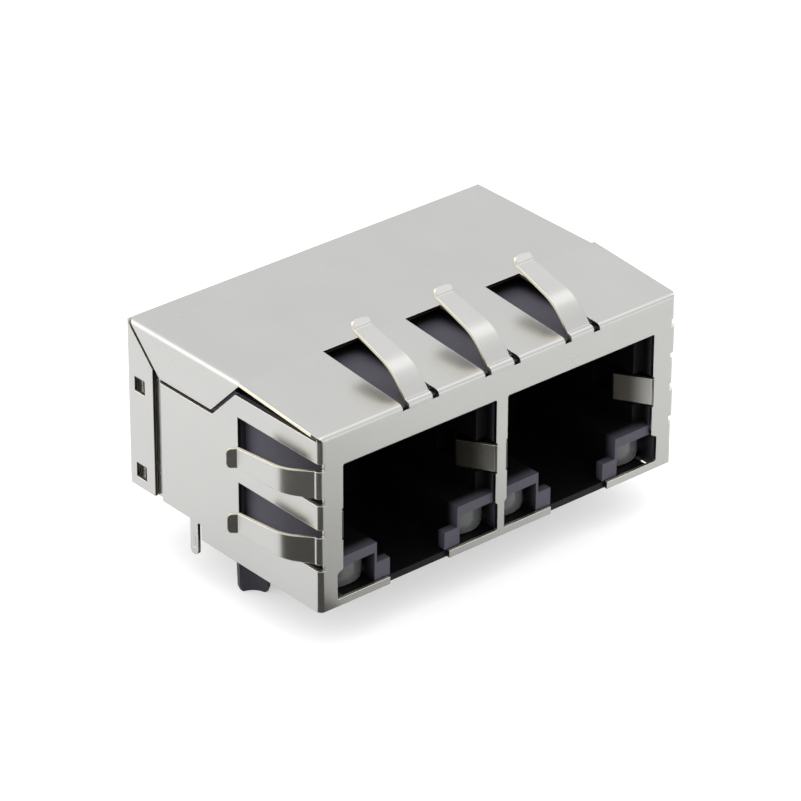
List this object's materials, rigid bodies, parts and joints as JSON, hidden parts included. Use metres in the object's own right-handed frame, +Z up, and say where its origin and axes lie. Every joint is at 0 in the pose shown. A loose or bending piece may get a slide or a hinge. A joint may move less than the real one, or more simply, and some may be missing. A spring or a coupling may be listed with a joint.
{
  "type": "two-port modular jack",
  "caption": "Two-port shielded modular network jack for a circuit board, with lamps below each port and spring fingers on the roof and sides.",
  "frame": {"origin": "on the board's surface, halfway between the axes of the two locating pegs", "axes": "+X along the width, to the right as seen by someone facing the ports; +Y from the ports to the back; +Z up from the board"},
  "size_m": [0.037, 0.0209, 0.0203],
  "materials": {
    "shield_sheet": "satin nickel-plated sheet",
    "black_moulding": "fine matt moulding",
    "carrier_moulding": "fine matt moulding",
    "inner_board": "green solder mask",
    "coil_case": "potting resin in a black case",
    "gilt_spring": "gold-plated spring bronze",
    "tinned_pin": "tinned brass",
    "lamp_body": "clear moulded resin",
    "tinned_lead": "tinned steel"
  },
  "bodies": {
    "root": {"shield": "shield_sheet", "housing": "black_moulding", "contact_carrier_left": "carrier_moulding", "contact_carrier_right": "carrier_moulding", "circuit_board_left": "inner_board", "circuit_board_right": "inner_board", "coil_module_left": "coil_case", "coil_module_right": "coil_case", "contact_left_1": "gilt_spring", "contact_left_2": "gilt_spring", "contact_left_3": "gilt_spring", "contact_left_4": "gilt_spring", "contact_left_5": "gilt_spring", "contact_left_6": "gilt_spring", "contact_left_7": "gilt_spring", "contact_left_8": "gilt_spring", "contact_right_1": "gilt_spring", "contact_right_2": "gilt_spring", "contact_right_3": "gilt_spring", "contact_right_4": "gilt_spring", "contact_right_5": "gilt_spring", "contact_right_6": "gilt_spring", "contact_right_7": "gilt_spring", "contact_right_8": "gilt_spring", "signal_pin_left_1": "tinned_pin", "signal_pin_left_2": "tinned_pin", "signal_pin_left_3": "tinned_pin", "signal_pin_left_4": "tinned_pin", "signal_pin_left_5": "tinned_pin", "signal_pin_left_6": "tinned_pin", "signal_pin_left_7": "tinned_pin", "signal_pin_left_8": "tinned_pin", "signal_pin_right_1": "tinned_pin", "signal_pin_right_2": "tinned_pin", "signal_pin_right_3": "tinned_pin", "signal_pin_right_4": "tinned_pin", "signal_pin_right_5": "tinned_pin", "signal_pin_right_6": "tinned_pin", "signal_pin_right_7": "tinned_pin", "signal_pin_right_8": "tinned_pin", "lamp_left_outer": "lamp_body", "lamp_left_inner": "lamp_body", "lamp_right_outer": "lamp_body", "lamp_right_inner": "lamp_body", "lamp_lead_left_outer_1": "tinned_lead", "lamp_lead_left_outer_2": "tinned_lead", "lamp_lead_left_inner_1": "tinned_lead", "lamp_lead_left_inner_2": "tinned_lead", "lamp_lead_right_outer_1": "tinned_lead", "lamp_lead_right_outer_2": "tinned_lead", "lamp_lead_right_inner_1": "tinned_lead", "lamp_lead_right_inner_2": "tinned_lead"}
  },
  "joints": []
}
